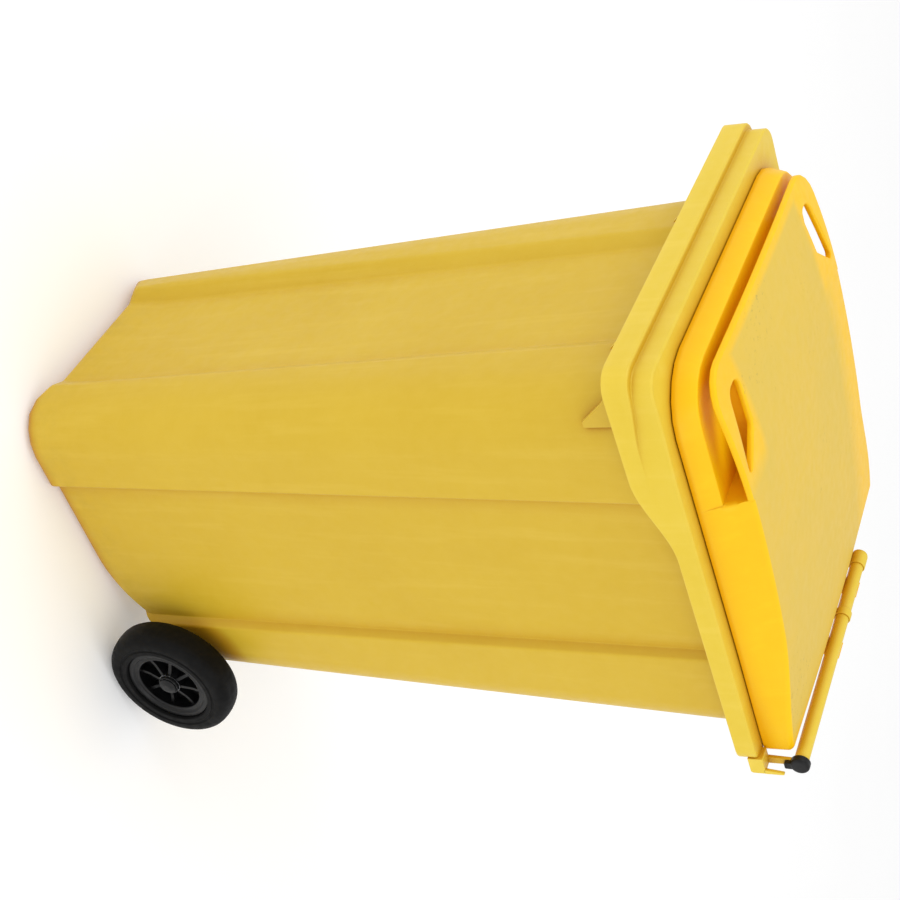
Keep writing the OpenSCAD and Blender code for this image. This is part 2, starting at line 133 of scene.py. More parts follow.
# Lid
lid_half = lid_high.x
lid_front_y = lid_low.y
lid_rear_y = bar_y - 0.0118
lid_low_z = collar_z + 0.0014
lid_band_z = collar_z + 0.007
crown_z = lid_high.z
top_half = lid_half - 0.0205
top_front_y = lid_front_y + 0.0145
top_rear_y = lid_rear_y - 0.0005
top_spread = 0.0225
skirt_spread = 0.0020
lid_corner_r = 0.0055
lid_t = 0.004
lip_t = 0.008
ledge_z = collar_z + 0.030
dome_mid_y = front_y + 0.241
dome_front = 0.019
dome_rear = 0.0245
dome_side = 0.003
groove_half = 0.166
groove_front_y = top_front_y + 0.023
groove_rear_y = front_y + 0.214

knuckle_x = 0.060
knuckle_half = 0.015

# Wheels
axle_y = (tyre_low.y + tyre_high.y) / 2
axle_z = (tyre_low.z + tyre_high.z) / 2
wheel_r = (tyre_high.z - tyre_low.z) / 2
wheel_x = (tyre_low.x + tyre_high.x) / 2
tyre_half = (tyre_high.x - tyre_low.x) / 2
bead_r = 0.067
rim_band_r = 0.051
hub_r = 0.016
spokes = 8


def lerp(a, b, t):
    return a + (b - a) * t


def smooth(t):
    c = min(1, max(0, t))
    return c * c * (3 - 2 * c)


# ---- Outlines ----------------------------------------------------------

def fillet(before, corner, after, radius):
    """Arc of ARC_STEPS + 1 points that rounds a corner."""
    to_before = (before - corner).normalized()
    to_after = (after - corner).normalized()
    half = to_before.angle(to_after) / 2
    centre = corner + (to_before + to_after).normalized() * radius / math.sin(half)
    reach = radius / math.tan(half)
    first = corner + to_before * reach - centre
    last = corner + to_after * reach - centre
    start = math.atan2(first.y, first.x)
    swing = math.atan2(first.cross(last), first.dot(last))
    angles = [start + swing * k / ARC_STEPS for k in range(ARC_STEPS + 1)]
    return [centre + radius * Vector((math.cos(a), math.sin(a))) for a in angles]


def outline(corners):
    """Closed outline through (x, y, radius) corners. A radius of 0 is a plain point."""
    points = [Vector(c[:2]) for c in corners]
    made = []
    for i, corner in enumerate(corners):
        if corner[2]:
            after = points[(i + 1) % len(points)]
            made += fillet(points[i - 1], points[i], after, corner[2])
        else:
            made.append(points[i])
    return made


def both_halves(right):
    """Corners of the whole outline from those of its right half, front to rear."""
    return right + [(-x, y, r) for x, y, r in reversed(right)]


def steps(a, b, n):
    """n values spread evenly from a to b."""
    return [lerp(a, b, k / (n - 1)) for k in range(n)]


def ring(flat, height):
    """Lifts an outline to a height, or to a function of x and y."""
    if callable(height):
        return [Vector((p.x, p.y, height(p.x, p.y))) for p in flat]
    return [Vector((p.x, p.y, height)) for p in flat]


# ---- Meshes ------------------------------------------------------------

def finish_mesh(name, work, body, material, sharp=SHARP):
    """Turns a bmesh into a smooth-shaded piece that rides on a body."""
    bmesh.ops.remove_doubles(work, verts=work.verts, dist=1e-6)
    bmesh.ops.recalc_face_normals(work, faces=work.faces)
    mesh = bpy.data.meshes.new(name)
    work.to_mesh(mesh)
    work.free()
    piece = bpy.data.objects.new(name, mesh)
    bpy.context.scene.collection.objects.link(piece)
    mesh.materials.append(material)
    return dress(piece, body, sharp)


def shade(piece, sharp):
    """Smooth shading, with sharp edges above an angle in degrees."""
    piece.data.shade_smooth()
    piece.data.set_sharp_from_angle(angle=math.radians(sharp))


def dress(piece, body, sharp):
    shade(piece, sharp)
    weigh = piece.modifiers.new("weighted normals", "WEIGHTED_NORMAL")
    weigh.keep_sharp = True
    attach(piece, body)
    return piece


def add_rings(work, rings):
    """Quads between closed rings. Returns the rings' vertices."""
    made = [[work.verts.new(p) for p in ring_points] for ring_points in rings]
    for low, high in zip(made, made[1:]):
        for i in range(len(low)):
            j = (i + 1) % len(low)
            work.faces.new((low[i], low[j], high[j], high[i]))
    return made


def cap_across(work, verts, split):
    """Closes a ring whose halves mirror each other: flat up to `split`, strips, and a rear face."""
    n = len(verts)
    middle = n // 2
    work.faces.new(verts[:split] + verts[n - split:])
    for i in range(split - 1, middle - 3):
        work.faces.new((verts[i], verts[i + 1], verts[n - 2 - i], verts[n - 1 - i]))
    work.faces.new(verts[middle - 3:middle + 3])


def prism(work, corners, axis, low, high, edge):
    """Plate whose outline lies across an axis, with rounded edges."""
    def place(p, s):
        return {"X": (s, p.x, p.y), "Y": (p.x, s, p.y), "Z": (p.x, p.y, s)}[axis]

    flat = outline(corners)
    made = add_rings(work, [[place(p, low) for p in flat], [place(p, high) for p in flat]])
    work.faces.new(made[0])
    work.faces.new(made[1])
    faces = list(dict.fromkeys(f for v in made[0] + made[1] for f in v.link_faces))
    bmesh.ops.recalc_face_normals(work, faces=faces)
    creases = dict.fromkeys(
        e for f in faces for e in f.edges if e.calc_face_angle(0) > math.radians(40))
    bmesh.ops.bevel(work, geom=list(creases), offset=edge, segments=2, profile=0.5,
                    affect="EDGES", clamp_overlap=True)


def lathe(work, profile, y, z, steps_round=TURN_STEPS):
    """Turns a closed profile of (radius, x) points about an axis along X."""
    made = []
    for k in range(steps_round):
        angle = 2 * math.pi * k / steps_round
        made.append([
            work.verts.new((x, y + r * math.cos(angle), z + r * math.sin(angle)))
            for r, x in profile
        ])
    for k in range(steps_round):
        a, b = made[k], made[(k + 1) % steps_round]
        for i in range(len(profile)):
            j = (i + 1) % len(profile)
            if a[i].co == b[i].co and a[j].co == b[j].co:
                continue
            work.faces.new((a[i], a[j], b[j], b[i]))


def hook(work, profile, start, end, count=28):
    """Part of a turned band round the hinge bar, from one angle in degrees to another."""
    made = []
    for degrees in steps(start, end, count):
        a = math.radians(degrees)
        made.append([(x, bar_y + r * math.cos(a), bar_z + r * math.sin(a)) for r, x in profile])
    rings = add_rings(work, made)
    work.faces.new(rings[0])
    work.faces.new(rings[-1])


def profile_points(corners):
    return [(p.x, p.y) for p in outline(corners)]


def cut(piece, tool):
    """Takes a tool's volume out of a piece and drops the tool."""
    work = piece.modifiers.new("cut", "BOOLEAN")
    work.operation = "DIFFERENCE"
    work.solver = "EXACT"
    work.object = tool
    depsgraph = bpy.context.evaluated_depsgraph_get()
    made = bpy.data.meshes.new_from_object(piece.evaluated_get(depsgraph))
    piece.modifiers.remove(work)
    piece.data = made
    bpy.data.objects.remove(tool)


def tool_from(work):
    bmesh.ops.recalc_face_normals(work, faces=work.faces)
    if work.calc_volume(signed=True) < 0:
        bmesh.ops.reverse_faces(work, faces=work.faces)
    mesh = bpy.data.meshes.new("tool")
    work.to_mesh(mesh)
    work.free()
    tool = bpy.data.objects.new("tool", mesh)
    bpy.context.scene.collection.objects.link(tool)
    return tool


# ---- Materials ---------------------------------------------------------

def srgb(red, green, blue):
    """Linear colour from 0-255 display values."""
    def linear(v):
        v /= 255
        return v / 12.92 if v <= 0.04045 else ((v + 0.055) / 1.055) ** 2.4
    return (linear(red), linear(green), linear(blue), 1)


class Finish:
    """A material under construction: short calls that add and link nodes."""

    def __init__(self, name, roughness, specular=0.5, metallic=0.0):
        self.material = bpy.data.materials.new(name)
        self.material.use_nodes = True
        self.tree = self.material.node_tree
        self.shader = self.tree.nodes["Principled BSDF"]
        self.shader.inputs["Roughness"].default_value = roughness
        self.shader.inputs["Specular IOR Level"].default_value = specular
        self.shader.inputs["Metallic"].default_value = metallic
        self.coordinates = self.tree.nodes.new("ShaderNodeTexCoord")
        self.place = self.coordinates.outputs["Object"]

    def feed(self, socket, value):
        if isinstance(value, bpy.types.NodeSocket):
            self.tree.links.new(value, socket)
        else:
            socket.default_value = value

    def scaled(self, scale):
        node = self.tree.nodes.new("ShaderNodeMapping")
        self.feed(node.inputs["Vector"], self.place)
        node.inputs["Scale"].default_value = scale
        return node.outputs["Vector"]

    def noise(self, scale, detail=3, roughness=0.5, vector=None):
        node = self.tree.nodes.new("ShaderNodeTexNoise")
        self.feed(node.inputs["Vector"], vector or self.place)
        node.inputs["Scale"].default_value = scale
        node.inputs["Detail"].default_value = detail
        node.inputs["Roughness"].default_value = roughness
        return node.outputs["Fac"]

    def spread(self, value, low, high, to_low=0.0, to_high=1.0):
        """Maps low..high of a value to to_low..to_high, clamped."""
        node = self.tree.nodes.new("ShaderNodeMapRange")
        node.clamp = True
        self.feed(node.inputs["Value"], value)
        for key, number in zip(("From Min", "From Max", "To Min", "To Max"),
                               (low, high, to_low, to_high)):
            node.inputs[key].default_value = number
        return node.outputs["Result"]

    def math(self, operation, a, b=0.0):
        node = self.tree.nodes.new("ShaderNodeMath")
        node.operation = operation
        self.feed(node.inputs[0], a)
        self.feed(node.inputs[1], b)
        return node.outputs["Value"]

    def mix(self, share, a, b):
        node = self.tree.nodes.new("ShaderNodeMix")
        node.data_type = "RGBA"
        self.feed(node.inputs["Factor"], share)
        self.feed(node.inputs["A"], a)
        self.feed(node.inputs["B"], b)
        return node.outputs["Result"]

    def axis(self, vector, letter):
        node = self.tree.nodes.new("ShaderNodeSeparateXYZ")
        self.feed(node.inputs["Vector"], vector)
        return node.outputs[letter]

    def bumps(self, *layers):
        """Stacks (height, strength, distance) bump layers on the shader's normal."""
        normal = None
        for height, strength, distance in layers:
            node = self.tree.nodes.new("ShaderNodeBump")
            self.feed(node.inputs["Height"], height)
            node.inputs["Strength"].default_value = strength
            node.inputs["Distance"].default_value = distance
            if normal:
                self.tree.links.new(normal, node.inputs["Normal"])
            normal = node.outputs["Normal"]
        self.tree.links.new(normal, self.shader.inputs["Normal"])

    def paint(self, colour, roughness=None):
        self.feed(self.shader.inputs["Base Color"], colour)
        if roughness is not None:
            self.feed(self.shader.inputs["Roughness"], roughness)
        return self.material


def moulded_yellow(name, colour, deep, pale, hollow_shade, dusty=0.0):
    """Moulded polyethylene: cloudy colour, painted shade in its hollows, a painted highlight on its
    edges, fine grain and a little grime.
    """
    finish = Finish(name, 0.42, 0.24)
    clouds = finish.spread(finish.noise(5, 3, 0.55), 0.32, 0.68)
    mottle = finish.spread(finish.noise(55, 4, 0.6), 0.30, 0.70)
    streaks = finish.noise(10, 3, 0.6, finish.scaled((5.0, 5.0, 0.35)))
    base = finish.mix(finish.math("MULTIPLY", clouds, 0.55), colour, deep)
    base = finish.mix(finish.math("MULTIPLY", mottle, 0.16), base, pale)
    base = finish.mix(finish.spread(streaks, 0.52, 0.74, 0, 0.30), base, pale)
    height = finish.axis(finish.place, "Z")
    grime = finish.math("MULTIPLY", finish.spread(height, 0.01, 0.10, 0.16, 0.0),
                        finish.spread(finish.noise(38, 5, 0.65), 0.42, 0.70))
    base = finish.mix(grime, base, srgb(120, 98, 44))
    # Painted highlight: convex edges, found by pointiness, are mixed towards the pale colour.
    edges = finish.tree.nodes.new("ShaderNodeNewGeometry").outputs["Pointiness"]
    base = finish.mix(finish.spread(edges, 0.51, 0.58, 0.0, 0.45), base, pale)
    # Painted shade: hollows found by ambient occlusion are mixed towards the darker, more orange hollow
    # colour.
    hollow_shade_ao = finish.tree.nodes.new("ShaderNodeAmbientOcclusion")
    hollow_shade_ao.samples = 6
    hollow_shade_ao.inputs["Distance"].default_value = 0.030
    base = finish.mix(finish.spread(hollow_shade_ao.outputs["AO"], 0.96, 0.62, 0.0, 0.90), base, hollow_shade)
    rough = finish.spread(finish.noise(70, 3), 0.3, 0.7, 0.36, 0.50)
    if dusty:
        up = finish.axis(finish.coordinates.outputs["Normal"], "Z")
        top = finish.math("MULTIPLY", finish.spread(up, 0.90, 0.985),
                          finish.spread(height, ledge_z + 0.008, ledge_z + 0.014))
        film = finish.spread(finish.noise(7, 4, 0.6), 0.25, 0.75, 0.75, 1.0)
        inboard = finish.spread(finish.axis(finish.place, "X"), -0.205, -0.150, 0.15, 1.0)
        film = finish.math("MULTIPLY", film, inboard)
        along = finish.axis(finish.place, "Y")
        apart = finish.math("ABSOLUTE", finish.axis(finish.place, "X"))
        handle = finish.math("MULTIPLY",
                             finish.spread(along, groove_rear_y - 0.030, groove_rear_y, 1, 0),
                             finish.spread(apart, groove_half - 0.008, groove_half + 0.006))
        front_edge = finish.spread(along, top_front_y + 0.016, top_front_y + 0.008)
        clean = finish.math("MAXIMUM", handle, front_edge)
        film = finish.math("MULTIPLY", film, finish.spread(clean, 0.0, 1.0, 1.0, 0.12))
        dust = finish.math("MULTIPLY", finish.math("MULTIPLY", top, film), dusty)
        base = finish.mix(dust, base, srgb(216, 187, 82))
        specks = finish.spread(finish.noise(140, 4, 0.7), 0.60, 0.70)
        patch = finish.spread(finish.noise(6.5, 2), 0.52, 0.66)
        dirt = finish.math("MULTIPLY", finish.math("MULTIPLY", specks, patch), top)
        base = finish.mix(finish.math("MULTIPLY", dirt, 0.35), base, srgb(120, 108, 82))
        rough = finish.math("ADD", rough, finish.math("MULTIPLY", dust, 0.14))
    finish.bumps((finish.noise(420, 3, 0.6), 0.10, 0.0006),
                 (finish.noise(9, 2), 0.12, 0.008))
    return finish.paint(base, rough)


def black_rubber():
    finish = Finish("tyre_rubber", 0.68, 0.12)
    wear = finish.spread(finish.noise(60, 5, 0.65), 0.35, 0.75)
    dust = finish.spread(finish.noise(14, 3, 0.6), 0.50, 0.80, 0, 0.18)
    base = finish.mix(wear, srgb(7, 7, 7), srgb(14, 14, 14))
    base = finish.mix(dust, base, srgb(36, 35, 33))
    finish.bumps((finish.noise(700, 3, 0.6), 0.25, 0.0005), (finish.noise(60, 2), 0.15, 0.001))
    return finish.paint(base, finish.spread(finish.noise(90, 3), 0.3, 0.7, 0.52, 0.70))


def black_moulding():
    finish = Finish("black_moulding", 0.36, 0.28)
    marks = finish.spread(finish.noise(45, 4, 0.6), 0.40, 0.75)
    base = finish.mix(marks, srgb(9, 9, 10), srgb(17, 17, 18))
    finish.bumps((finish.noise(520, 3, 0.6), 0.22, 0.0005))
    return finish.paint(base, finish.spread(finish.noise(80, 3), 0.3, 0.7, 0.32, 0.48))


def zinc_plate():
    finish = Finish("zinc_plate", 0.34, 0.5, 1.0)
    spangle = finish.tree.nodes.new("ShaderNodeTexVoronoi")
    finish.feed(spangle.inputs["Vector"], finish.place)
    spangle.inputs["Scale"].default_value = 160
    tone = finish.spread(spangle.outputs["Distance"], 0.0, 0.7)
    base = finish.mix(tone, srgb(176, 178, 182), srgb(206, 208, 210))
    turned = finish.noise(30, 2, 0.5, finish.scaled((40.0, 1.0, 1.0)))
    finish.bumps((turned, 0.12, 0.0004))
    return finish.paint(base, finish.spread(finish.noise(50, 3), 0.3, 0.7, 0.26, 0.42))


def white_nylon():
    finish = Finish("white_nylon", 0.45, 0.45)
    base = finish.mix(finish.noise(40, 4, 0.6), srgb(214, 212, 202), srgb(232, 230, 222))
    finish.bumps((finish.noise(600, 3), 0.15, 0.0004))
    return finish.paint(base, finish.spread(finish.noise(60, 3), 0.3, 0.7, 0.38, 0.52))


body_yellow = moulded_yellow("body_yellow", colour=srgb(210, 175, 45), deep=srgb(203, 166, 34),
                             pale=srgb(222, 191, 74), hollow_shade=srgb(186, 128, 8))
# The collar's yellow is a paler copy of the body's: painted light, the collar shown lit more than the tub
# below it.
lit_rim_yellow = moulded_yellow("lit_rim_yellow", colour=srgb(226, 196, 58), deep=srgb(220, 188, 48),
                            pale=srgb(236, 208, 88), hollow_shade=srgb(200, 148, 16))
lid_yellow = moulded_yellow("lid_yellow", colour=srgb(247, 196, 2), deep=srgb(243, 188, 0),
                            pale=srgb(251, 209, 20), hollow_shade=srgb(240, 174, 0), dusty=0.9)
rubber = black_rubber()
black = black_moulding()
zinc = zinc_plate()
nylon = white_nylon()


# ---- Tub ---------------------------------------------------------------

def tub_corners(z, e):
    """Right half of the tub's section at a height, moved inwards by e."""
    t = z / brow_z
    half = lerp(foot_half, brow_half, t) - e
    yf = lerp(foot_front_y, brow_front_y, t) + e
    yr = lerp(foot_rear_y, brow_rear_y, t) - e
    front_in = lerp(0.100, 0.104, t) - e / 2
    flush = max(0.02, smooth((mouth_z + 0.002 - z) / 0.028))
    front_d = lerp(foot_panel_d, panel_d, t) * smooth((z + 0.015) / 0.085) * flush
    side_a = lerp(-0.104, -0.120, t) + e / 2
    side_b = lerp(0.170, 0.138, t) - e / 2
    side_in = half - panel_d * flush
    return (
        [(x, yf + front_d, 0) for x in (0.03, 0.06)]
        + [(front_in, yf + front_d, 0.014), (front_in + 0.024, yf, 0.018)]
        + [(half, yf, tub_front_r - e)]
        + [(half, side_a, 0.005), (side_in, side_a + 0.008, 0.005)]
        + [(side_in, y, 0) for y in steps(-0.05, side_b - 0.016, 14)]
        + [(side_in, side_b - 0.009, 0.003), (half, side_b, 0.006)]
        + [(half, yr, tub_rear_r - e), (0.10, yr, 0)]
    )


def arch_height(y, low):
    """Height of the underside: flat in front, then round the wheel up to the arch's top."""
    run = y - arch_start_y
    if run <= 0:
        return low
    if run >= arch_r:
        return arch_top_z
    return min(arch_top_z, low + arch_r - math.sqrt(arch_r ** 2 - run ** 2))


def tub_ring(e, height):
    """Ring inside the tub's outside by e. `height` gives each point's z."""
    flat = outline(both_halves(tub_corners(foot_r, e)))
    heights = [height(p.x, p.y) for p in flat]
    made = []
    levels = {}
    for i, z in enumerate(heights):
        key = round(z, 5)
        if key not in levels:
            levels[key] = outline(both_halves(tub_corners(z, e)))
        p = levels[key][i]
        made.append(Vector((p.x, p.y, z)))
    return made


def lifted(x, y):
    """How far the foot is lifted under the front panel."""
    return front_lift * smooth((0.170 - abs(x)) / 0.06) * smooth((foot_front_y + 0.07 - y) / 0.05)


def outer_low(x, y):
    """Lowest line of the tub's outside: lifted under the front panel and over the wheels."""
    return arch_height(y, foot_z) + lifted(x, y)


def inner_low(x, y):
    """Lowest line of the tub's inside wall."""
    return floor_height(x, y) + lifted(x, y)


def floor_height(x, y):
    """Inside floor: over the wheel arch, then stepping up over the axle tunnel."""
    over_arch = arch_height(y, floor_z) + wall_t * smooth((y - arch_start_y) / 0.05)
    hump = smooth((y - tunnel_front_y + 0.022) / 0.020)
    return lerp(over_arch, tunnel_top_z + wall_t, hump)


def build_tub():
    work = bmesh.new()
    turn = [math.radians(a) for a in (0, 22.5, 45, 67.5, 90)]
    rings = [tub_ring(foot_r + 0.020, lambda x, y: arch_height(y, foot_z) + 0.0005)]
    for a in turn:
        rings.append(tub_ring(
            foot_r * (1 - math.sin(a)),
            lambda x, y, a=a: outer_low(x, y) + foot_r * (1 - math.cos(a))
        ))
    for share in steps(0.06, 0.955, 14) + [0.97, 0.985, 1]:
        rings.append(tub_ring(0, lambda x, y, s=share: lerp(outer_low(x, y) + foot_r, mouth_z, s)))
    for share in [1, 0.985, 0.97] + steps(0.955, 0.06, 10):
        rings.append(tub_ring(
            wall_t, lambda x, y, s=share: lerp(inner_low(x, y) + foot_r, mouth_z, s)))
    for a in reversed(turn[:-1]):
        rings.append(tub_ring(
            wall_t + foot_r * (1 - math.sin(a)),
            lambda x, y, a=a: inner_low(x, y) + foot_r * (1 - math.cos(a))
        ))
    rings.append(tub_ring(wall_t + foot_r + 0.02, floor_height))
    made = add_rings(work, rings)
    split_low = sum(1 for v in made[0][:len(made[0]) // 2] if v.co.y <= arch_start_y)
    cap_across(work, made[0], split_low)
    cap_across(work, made[-1], split_low)
    tub = finish_mesh("tub_shell", work, "container", body_yellow)
    tunnel = bmesh.new()
    prism(tunnel, [
        (tunnel_front_y, -0.02, 0), (collar_rear_y + 0.05, -0.02, 0),
        (collar_rear_y + 0.05, tunnel_top_z, 0), (tunnel_front_y, tunnel_top_z, 0.020)
    ], "X", -cheek_half, cheek_half, 0.004)
    cut(tub, tool_from(tunnel))
    shade(tub, SHARP)
    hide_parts("bin_body")


# ---- Collar ------------------------------------------------------------

def skirt_edge(y):
    """Height of the side skirt's lower edge: deep at the front, shallow behind."""
    rise = (y - skirt_rise_front_y) / (skirt_rise_rear_y - skirt_rise_front_y)
    return lerp(skirt_front_z, skirt_rear_z, smooth(rise))


def collar_corners(front_in, side_in, e):
    half = collar_half - e
    yf = front_y + front_in + e
    yr = collar_rear_y - e
    side = [(half - side_in * smooth(1 - (y - front_y - 0.06) / 0.10), y, 0)
            for y in steps(front_y + 0.045, collar_rear_y - 0.03, 46)]
    return (
        [(x, yf, 0) for x in (0.06, 0.12, 0.20)]
        + [(half - side_in, yf, 0.028 - e)] + side
        + [(half, yr, 0.022 - e), (0.2, yr, 0), (0.12, yr, 0), (0.06, yr, 0)]
    )


def mouth_corners(e):
    """Right half of the opening's outline, moved inwards by e."""
    half = brow_half + 0.003 - e
    yf = brow_front_y - 0.002 + e
    yr = brow_rear_y + 0.0005 - e
    side = [(half, y, 0) for y in steps(yf + 0.085, yr - 0.06, 46)]
    return (
        [(x, yf, 0) for x in (0.06, 0.10, 0.13)]
        + [(half, yf, tub_front_r - e)] + side
        + [(half, yr, tub_rear_r - e), (0.13, yr, 0), (0.10, yr, 0), (0.06, yr, 0)]
    )


def step_height(x, y):
    """The step between the collar's bands drops a little, and stays above the skirt's edge."""
    drop = 0.008 * smooth((y - front_y - 0.02) / 0.09)
    return max(skirt_front_z + band_h - drop, skirt_edge(y) + 0.009)


def build_collar():
    def skirt(front_in, side_in, e, height):
        return ring(outline(both_halves(collar_corners(front_in, side_in, e))), height)

    def mouth(e, z):
        return ring(outline(both_halves(mouth_corners(e))), z)

    r = 0.003
    soft = 0.0012
    step_fall = 0.0032
    rings = [mouth(0.0, collar_z - flange_t), mouth(wall_t, collar_z - flange_t - 0.004)]
    for a in (0, 30, 60, 90):
        turn = math.radians(a)
        rings.append(mouth(wall_t - r * (1 - math.cos(turn)), collar_z - r + r * math.sin(turn)))
    for a in (90, 60, 30, 0):
        turn = math.radians(a)
        rings.append(skirt(band_step, side_step, r * (1 - math.cos(turn)),
                           collar_z - r + r * math.sin(turn)))
    step_rings = (
        (band_step, side_step, 0.0030), (band_step, side_step, 0.0016),
        (band_step - 0.0006, side_step * 0.8, 0.0004), (0.0026, side_step * 0.35, -0.0004),
        (0.0010, side_step * 0.12, -0.0013), (0.0, 0.0, -step_fall)
    )
    for front_in, side_in, rise in step_rings:
        rings.append(skirt(front_in, side_in, 0, lambda x, y, d=rise: step_height(x, y) + d))
    for share in (0.35, 0.7):
        rings.append(skirt(0, 0, 0, lambda x, y, s=share: lerp(
            step_height(x, y) - step_fall, skirt_edge(y) + 0.0015, s)))
    lower_edge = (
        (0, 0.0015), (soft * 0.4, 0.0004), (soft, 0), (collar_t - soft, 0), (collar_t, 0.0015)
    )
    for e, rise in lower_edge:
        rings.append(skirt(0, 0, e, lambda x, y, d=rise: skirt_edge(y) + d))
    under = collar_z - flange_t
    rings.append(skirt(0, 0, collar_t, lambda x, y: step_height(x, y) - collar_t))
    rings.append(skirt(band_step, side_step, collar_t, lambda x, y: step_height(x, y) + 0.0005))
    rings.append(skirt(band_step, side_step, collar_t, under - 0.001))
    rings.append(skirt(band_step, side_step, collar_t + 0.002, under))
    work = bmesh.new()
    made = add_rings(work, rings)
    first, last = made[0], made[-1]
    for i in range(len(first)):
        j = (i + 1) % len(first)
        work.faces.new((last[i], last[j], first[j], first[i]))
    finish_mesh("collar", work, "container", lit_rim_yellow)


def build_webs():
    """Upright webs that tie the collar's skirt to the tub."""
    top_z = collar_z - 0.004
    web_front_y = front_y + band_step + 0.003
    work = bmesh.new()
    front_webs = ((0.205, skirt_front_z + 0.008, 0.0085), (0.140, skirt_front_z - 0.046, 0.0040))
    for x, low_z, reach in front_webs:
        rear_y = brow_front_y + reach
        for side in (-1, 1):
            prism(work, [
                (web_front_y, skirt_front_z + 0.010, 0.002), (rear_y - 0.005, low_z, 0.0015),
                (rear_y, low_z, 0.001), (rear_y - 0.001, top_z, 0.001), (web_front_y, top_z, 0.001)
            ], "X", side * x - 0.002, side * x + 0.002, 0.0009)
    side_webs = (
        (front_y + 0.190, skirt_front_z + 0.016, 0.003), (front_y + 0.330, skirt_rear_z + 0.004, 0.010),
        (front_y + 0.455, skirt_rear_z + 0.004, 0.010)
    )
    outer_x = collar_half - 0.003
    for y, low_z, inset in side_webs:
        for side in (-1, 1):
            foot = max(low_z, skirt_front_z) + 0.004
            prism(work, [
                (side * (brow_half - inset), low_z, 0.001), (side * (brow_half + 0.003), low_z, 0.0018),
                (side * outer_x, foot, 0.001), (side * outer_x, top_z, 0.001),
                (side * (brow_half - 0.003), top_z, 0.001)
            ], "Y", y - 0.0025, y + 0.0025, 0.0011)
    finish_mesh("collar_webs", work, "container", lit_rim_yellow)
    work = bmesh.new()
    gusset_x, tip_y, tip_z = 0.2412, front_y + 0.102, skirt_front_z - 0.058
    for side in (-1, 1):
        prism(work, [
            (tip_y - 0.008, tip_z, 0.003), (tip_y, tip_z, 0.001), (tip_y, top_z, 0.001),
            (tip_y - 0.066, top_z, 0.001), (tip_y - 0.066, skirt_front_z - 0.001, 0.002),
            (tip_y - 0.032, skirt_front_z - 0.030, 0.022)
        ], "X", side * gusset_x - 0.0030, side * gusset_x + 0.0030, 0.0012)
    finish_mesh("corner_gussets", work, "container", body_yellow)


def build_nest():
    work = bmesh.new()
    low = collar_z - 0.035
    lathe_up(work, [
        (0.017, low, 0.0006), (0.0195, low, 0.001), (0.0195, collar_z - 0.004, 0.0005),
        (0.017, collar_z - 0.004, 0.0005)
    ], Vector((0, front_y + 0.034, 0)))
    finish_mesh("chip_nest", work, "container", lit_rim_yellow)


def lathe_up(work, corners, foot):
    """Turns a closed profile of (radius, z, fillet) corners about an upright axis."""
    lathe(work, profile_points(corners), 0, 0, SMALL_TURN)
    turn = Matrix.Translation(foot) @ Matrix(((0, 1, 0, 0), (0, 0, 1, 0), (1, 0, 0, 0), (0, 0, 0, 1)))
    bmesh.ops.transform(work, matrix=turn, verts=work.verts)


def build_underside():
    """Rest pad under the foot, and the plates that carry the axle."""
    work = bmesh.new()
    pad_half = foot_half - 0.030
    pad = [(pad_half, foot_front_y + 0.085, 0.034), (pad_half, arch_start_y - 0.006, 0.012)]
    prism(work, both_halves(pad), "Z", 0.0, foot_z + 0.004, 0.0012)
    finish_mesh("rest_pad", work, "container", body_yellow)
    work = bmesh.new()
    bearer_x, bearer_r, bearer_top_z = 0.065, 0.024, tunnel_top_z + 0.003
    for side in (-1, 1):
        x = side * bearer_x
        prism(work, [
            (axle_y - bearer_r, bearer_top_z, 0), (axle_y - bearer_r, axle_z - bearer_r, bearer_r * 0.96),
            (axle_y + bearer_r, axle_z - bearer_r, bearer_r * 0.96), (axle_y + bearer_r, bearer_top_z, 0)
        ], "X", x - 0.004, x + 0.004, 0.001)
    finish_mesh("axle_bearers", work, "container", body_yellow)
    bore_r, boss_in_x, boss_out_x = 0.0101, cheek_half - 0.004, 0.209
    for side, word in SIDES:
        work = bmesh.new()
        lathe(work, profile_points([
            (bore_r, side * boss_in_x, 0.0004), (0.026, side * boss_in_x, 0.0004),
            (0.022, side * boss_out_x, 0.0012), (bore_r, side * boss_out_x, 0.0008)
        ]), axle_y, axle_z, SMALL_TURN)
        finish_mesh("axle_boss_" + word, work, "container", body_yellow)


# ---- Hinge -------------------------------------------------------------

def ring_profile(x0, x1, inner, outer, edge=0.0012):
    return profile_points([
        (inner, x0, edge / 3), (outer, x0, edge), (outer, x1, edge), (inner, x1, edge / 3)
    ])


